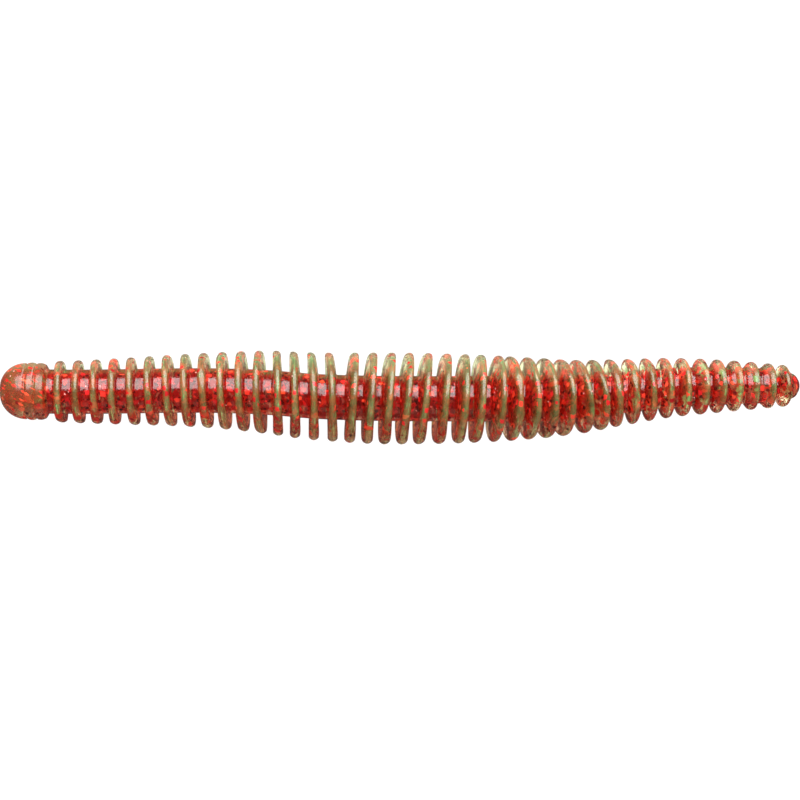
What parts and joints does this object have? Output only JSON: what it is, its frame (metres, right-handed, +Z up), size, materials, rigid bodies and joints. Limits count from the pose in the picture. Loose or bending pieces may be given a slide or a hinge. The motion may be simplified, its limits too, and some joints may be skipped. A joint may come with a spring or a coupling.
{
  "type": "soft plastic worm",
  "caption": "Ribbed soft plastic fishing worm: round head, slim core with thin ribs, close-ribbed collar and tapering tail, free to bend all along.",
  "frame": {"origin": "on the surface that the worm lies on, under the middle of the whole worm's box", "axes": "+X runs from the head to the tail, +Z is up, and +Y is the worm's side that the tail's tip curves towards"},
  "size_m": [0.1016, 0.0118, 0.0116],
  "materials": {
    "flaked_plastic": "wet-looking gloss, translucent olive green with red glitter flake"
  },
  "bodies": {
    "head": {"head": "flaked_plastic"},
    "body_rib_01": {"body_rib_01": "flaked_plastic"},
    "body_rib_02": {"body_rib_02": "flaked_plastic"},
    "body_rib_03": {"body_rib_03": "flaked_plastic"},
    "body_rib_04": {"body_rib_04": "flaked_plastic"},
    "body_rib_05": {"body_rib_05": "flaked_plastic"},
    "body_rib_06": {"body_rib_06": "flaked_plastic"},
    "body_rib_07": {"body_rib_07": "flaked_plastic"},
    "body_rib_08": {"body_rib_08": "flaked_plastic"},
    "body_rib_09": {"body_rib_09": "flaked_plastic"},
    "body_rib_10": {"body_rib_10": "flaked_plastic"},
    "body_rib_11": {"body_rib_11": "flaked_plastic"},
    "body_rib_12": {"body_rib_12": "flaked_plastic"},
    "body_rib_13": {"body_rib_13": "flaked_plastic"},
    "body_rib_14": {"body_rib_14": "flaked_plastic"},
    "body_rib_15": {"body_rib_15": "flaked_plastic"},
    "body_rib_16": {"body_rib_16": "flaked_plastic"},
    "body_rib_17": {"body_rib_17": "flaked_plastic"},
    "body_rib_18": {"body_rib_18": "flaked_plastic"},
    "body_rib_19": {"body_rib_19": "flaked_plastic"},
    "body_rib_20": {"body_rib_20": "flaked_plastic"},
    "body_rib_21": {"body_rib_21": "flaked_plastic"},
    "body_rib_22": {"body_rib_22": "flaked_plastic"},
    "body_rib_23": {"body_rib_23": "flaked_plastic"},
    "body_rib_24": {"body_rib_24": "flaked_plastic"},
    "collar_rib_25": {"collar_rib_25": "flaked_plastic"},
    "collar_rib_26": {"collar_rib_26": "flaked_plastic"},
    "collar_rib_27": {"collar_rib_27": "flaked_plastic"},
    "collar_rib_28": {"collar_rib_28": "flaked_plastic"},
    "collar_rib_29": {"collar_rib_29": "flaked_plastic"},
    "collar_rib_30": {"collar_rib_30": "flaked_plastic"},
    "collar_rib_31": {"collar_rib_31": "flaked_plastic"},
    "collar_rib_32": {"collar_rib_32": "flaked_plastic"},
    "tail_rib_33": {"tail_rib_33": "flaked_plastic"},
    "tail_rib_34": {"tail_rib_34": "flaked_plastic"},
    "tail_rib_35": {"tail_rib_35": "flaked_plastic"},
    "tail_rib_36": {"tail_rib_36": "flaked_plastic"},
    "tail_rib_37": {"tail_rib_37": "flaked_plastic"},
    "tail_rib_38": {"tail_rib_38": "flaked_plastic"},
    "tail_rib_39": {"tail_rib_39": "flaked_plastic"},
    "tail_rib_40": {"tail_rib_40": "flaked_plastic"},
    "tail_rib_41": {"tail_rib_41": "flaked_plastic"},
    "tail_tip": {"tail_tip": "flaked_plastic"}
  },
  "joints": [
    {"name": "bend_01", "type": "hinge", "parent": "body_rib_01", "child": "head", "pos_m": [-0.0442, 0.0008, 0.00373], "axis": [0, 0.7071, -0.7071], "range_deg": [-8, 8], "stiffness_Nm_per_rad": 0.003},
    {"name": "bend_02", "type": "hinge", "parent": "body_rib_02", "child": "body_rib_01", "pos_m": [-0.0419, 0.00073, 0.00395], "axis": [0, -0.7071, -0.7071], "range_deg": [-8, 8], "stiffness_Nm_per_rad": 0.003},
    {"name": "bend_03", "type": "hinge", "parent": "body_rib_03", "child": "body_rib_02", "pos_m": [-0.0396, 0.00073, 0.00404], "axis": [0, 0.7071, -0.7071], "range_deg": [-8, 8], "stiffness_Nm_per_rad": 0.003},
    {"name": "bend_04", "type": "hinge", "parent": "body_rib_04", "child": "body_rib_03", "pos_m": [-0.0373, 0.00075, 0.00413], "axis": [0, -0.7071, -0.7071], "range_deg": [-8, 8], "stiffness_Nm_per_rad": 0.003},
    {"name": "bend_05", "type": "hinge", "parent": "body_rib_05", "child": "body_rib_04", "pos_m": [-0.035, 0.00078, 0.00423], "axis": [0, 0.7071, -0.7071], "range_deg": [-8, 8], "stiffness_Nm_per_rad": 0.003},
    {"name": "bend_06", "type": "hinge", "parent": "body_rib_06", "child": "body_rib_05", "pos_m": [-0.0327, 0.00081, 0.00433], "axis": [0, -0.7071, -0.7071], "range_deg": [-8, 8], "stiffness_Nm_per_rad": 0.003},
    {"name": "bend_07", "type": "hinge", "parent": "body_rib_07", "child": "body_rib_06", "pos_m": [-0.0304, 0.00085, 0.00444], "axis": [0, 0.7071, -0.7071], "range_deg": [-8, 8], "stiffness_Nm_per_rad": 0.003},
    {"name": "bend_08", "type": "hinge", "parent": "body_rib_08", "child": "body_rib_07", "pos_m": [-0.0281, 0.00087, 0.00455], "axis": [0, -0.7071, -0.7071], "range_deg": [-8, 8], "stiffness_Nm_per_rad": 0.003},
    {"name": "bend_09", "type": "hinge", "parent": "body_rib_09", "child": "body_rib_08", "pos_m": [-0.0258, 0.00088, 0.00468], "axis": [0, 0.7071, -0.7071], "range_deg": [-8, 8], "stiffness_Nm_per_rad": 0.003},
    {"name": "bend_10", "type": "hinge", "parent": "body_rib_10", "child": "body_rib_09", "pos_m": [-0.0235, 0.00086, 0.00482], "axis": [0, -0.7071, -0.7071], "range_deg": [-8, 8], "stiffness_Nm_per_rad": 0.003},
    {"name": "bend_11", "type": "hinge", "parent": "body_rib_11", "child": "body_rib_10", "pos_m": [-0.0212, 0.00081, 0.00498], "axis": [0, 0.7071, -0.7071], "range_deg": [-8, 8], "stiffness_Nm_per_rad": 0.003},
    {"name": "bend_12", "type": "hinge", "parent": "body_rib_12", "child": "body_rib_11", "pos_m": [-0.0189, 0.00073, 0.00514], "axis": [0, -0.7071, -0.7071], "range_deg": [-8, 8], "stiffness_Nm_per_rad": 0.003},
    {"name": "bend_13", "type": "hinge", "parent": "body_rib_13", "child": "body_rib_12", "pos_m": [-0.0166, 0.00061, 0.00529], "axis": [0, 0.7071, -0.7071], "range_deg": [-8, 8], "stiffness_Nm_per_rad": 0.003},
    {"name": "bend_14", "type": "hinge", "parent": "body_rib_14", "child": "body_rib_13", "pos_m": [-0.0143, 0.00044, 0.00541], "axis": [0, -0.7071, -0.7071], "range_deg": [-8, 8], "stiffness_Nm_per_rad": 0.003},
    {"name": "bend_15", "type": "hinge", "parent": "body_rib_15", "child": "body_rib_14", "pos_m": [-0.012, 0.00024, 0.00549], "axis": [0, 0.7071, -0.7071], "range_deg": [-8, 8], "stiffness_Nm_per_rad": 0.003},
    {"name": "bend_16", "type": "hinge", "parent": "body_rib_16", "child": "body_rib_15", "pos_m": [-0.0097, 0.0001, 0.00557], "axis": [0, -0.7071, -0.7071], "range_deg": [-8, 8], "stiffness_Nm_per_rad": 0.003},
    {"name": "bend_17", "type": "hinge", "parent": "body_rib_17", "child": "body_rib_16", "pos_m": [-0.0074, 0.00001, 0.00564], "axis": [0, 0.7071, -0.7071], "range_deg": [-8, 8], "stiffness_Nm_per_rad": 0.003},
    {"name": "bend_18", "type": "hinge", "parent": "body_rib_18", "child": "body_rib_17", "pos_m": [-0.0051, -0.00006, 0.00571], "axis": [0, -0.7071, -0.7071], "range_deg": [-8, 8], "stiffness_Nm_per_rad": 0.003},
    {"name": "bend_19", "type": "hinge", "parent": "body_rib_19", "child": "body_rib_18", "pos_m": [-0.0028, -0.00011, 0.00576], "axis": [0, 0.7071, -0.7071], "range_deg": [-8, 8], "stiffness_Nm_per_rad": 0.003},
    {"name": "bend_20", "type": "hinge", "parent": "body_rib_20", "child": "body_rib_19", "pos_m": [-0.0005, -0.00013, 0.00577], "axis": [0, -0.7071, -0.7071], "range_deg": [-8, 8], "stiffness_Nm_per_rad": 0.003},
    {"name": "bend_21", "type": "hinge", "parent": "body_rib_21", "child": "body_rib_20", "pos_m": [0.0018, -0.00015, 0.00575], "axis": [0, 0.3536, -0.9354], "range_deg": [-8, 8], "stiffness_Nm_per_rad": 0.003},
    {"name": "bend_22", "type": "hinge", "parent": "body_rib_21", "child": "body_rib_22", "pos_m": [0.0041, -0.00016, 0.00571], "axis": [0, 0.3536, 0.9354], "range_deg": [-8, 8], "stiffness_Nm_per_rad": 0.003},
    {"name": "bend_23", "type": "hinge", "parent": "body_rib_22", "child": "body_rib_23", "pos_m": [0.0064, -0.00017, 0.00566], "axis": [0, -0.7071, 0.7071], "range_deg": [-8, 8], "stiffness_Nm_per_rad": 0.003},
    {"name": "bend_24", "type": "hinge", "parent": "body_rib_23", "child": "body_rib_24", "pos_m": [0.0087, -0.00017, 0.00558], "axis": [0, 0.7071, 0.7071], "range_deg": [-8, 8], "stiffness_Nm_per_rad": 0.003},
    {"name": "bend_25", "type": "hinge", "parent": "body_rib_24", "child": "collar_rib_25", "pos_m": [0.011, -0.00017, 0.00549], "axis": [0, -0.7071, 0.7071], "range_deg": [-8, 8], "stiffness_Nm_per_rad": 0.003},
    {"name": "bend_26", "type": "hinge", "parent": "collar_rib_25", "child": "collar_rib_26", "pos_m": [0.01323, -0.00016, 0.00539], "axis": [0, 0.7071, 0.7071], "range_deg": [-8, 8], "stiffness_Nm_per_rad": 0.003},
    {"name": "bend_27", "type": "hinge", "parent": "collar_rib_26", "child": "collar_rib_27", "pos_m": [0.01538, -0.00013, 0.00526], "axis": [0, -0.7071, 0.7071], "range_deg": [-8, 8], "stiffness_Nm_per_rad": 0.003},
    {"name": "bend_28", "type": "hinge", "parent": "collar_rib_27", "child": "collar_rib_28", "pos_m": [0.01754, -0.0001, 0.00511], "axis": [0, 0.7071, 0.7071], "range_deg": [-8, 8], "stiffness_Nm_per_rad": 0.003},
    {"name": "bend_29", "type": "hinge", "parent": "collar_rib_28", "child": "collar_rib_29", "pos_m": [0.01969, -0.00005, 0.00494], "axis": [0, -0.7071, 0.7071], "range_deg": [-8, 8], "stiffness_Nm_per_rad": 0.003},
    {"name": "bend_30", "type": "hinge", "parent": "collar_rib_29", "child": "collar_rib_30", "pos_m": [0.02185, 0.00005, 0.00473], "axis": [0, 0.7071, 0.7071], "range_deg": [-8, 8], "stiffness_Nm_per_rad": 0.003},
    {"name": "bend_31", "type": "hinge", "parent": "collar_rib_30", "child": "collar_rib_31", "pos_m": [0.024, 0.00022, 0.00453], "axis": [0, -0.7071, 0.7071], "range_deg": [-8, 8], "stiffness_Nm_per_rad": 0.003},
    {"name": "bend_32", "type": "hinge", "parent": "collar_rib_31", "child": "collar_rib_32", "pos_m": [0.02616, 0.00043, 0.00436], "axis": [0, 0.7071, 0.7071], "range_deg": [-8, 8], "stiffness_Nm_per_rad": 0.003},
    {"name": "bend_33", "type": "hinge", "parent": "collar_rib_32", "child": "tail_rib_33", "pos_m": [0.02831, 0.00065, 0.00419], "axis": [0, -0.7071, 0.7071], "range_deg": [-8, 8], "stiffness_Nm_per_rad": 0.003},
    {"name": "bend_34", "type": "hinge", "parent": "tail_rib_33", "child": "tail_rib_34", "pos_m": [0.03047, 0.00087, 0.00404], "axis": [0, 0.7071, 0.7071], "range_deg": [-8, 8], "stiffness_Nm_per_rad": 0.003},
    {"name": "bend_35", "type": "hinge", "parent": "tail_rib_34", "child": "tail_rib_35", "pos_m": [0.03262, 0.00109, 0.0039], "axis": [0, -0.7071, 0.7071], "range_deg": [-8, 8], "stiffness_Nm_per_rad": 0.003},
    {"name": "bend_36", "type": "hinge", "parent": "tail_rib_35", "child": "tail_rib_36", "pos_m": [0.03478, 0.00125, 0.00375], "axis": [0, 0.7071, 0.7071], "range_deg": [-8, 8], "stiffness_Nm_per_rad": 0.003},
    {"name": "bend_37", "type": "hinge", "parent": "tail_rib_36", "child": "tail_rib_37", "pos_m": [0.03693, 0.00134, 0.00361], "axis": [0, -0.7071, 0.7071], "range_deg": [-8, 8], "stiffness_Nm_per_rad": 0.003},
    {"name": "bend_38", "type": "hinge", "parent": "tail_rib_37", "child": "tail_rib_38", "pos_m": [0.03909, 0.0014, 0.00347], "axis": [0, 0.7071, 0.7071], "range_deg": [-8, 8], "stiffness_Nm_per_rad": 0.003},
    {"name": "bend_39", "type": "hinge", "parent": "tail_rib_38", "child": "tail_rib_39", "pos_m": [0.04124, 0.00144, 0.00331], "axis": [0, -0.7071, 0.7071], "range_deg": [-8, 8], "stiffness_Nm_per_rad": 0.003},
    {"name": "bend_40", "type": "hinge", "parent": "tail_rib_39", "child": "tail_rib_40", "pos_m": [0.0434, 0.00147, 0.00313], "axis": [0, 0.7071, 0.7071], "range_deg": [-8, 8], "stiffness_Nm_per_rad": 0.003},
    {"name": "bend_41", "type": "hinge", "parent": "tail_rib_40", "child": "tail_rib_41", "pos_m": [0.04555, 0.00148, 0.00295], "axis": [0, -0.7071, 0.7071], "range_deg": [-8, 8], "stiffness_Nm_per_rad": 0.003},
    {"name": "bend_42", "type": "hinge", "parent": "tail_rib_41", "child": "tail_tip", "pos_m": [0.04771, 0.00148, 0.00276], "axis": [0, 0.7071, 0.7071], "range_deg": [-8, 8], "stiffness_Nm_per_rad": 0.003}
  ]
}
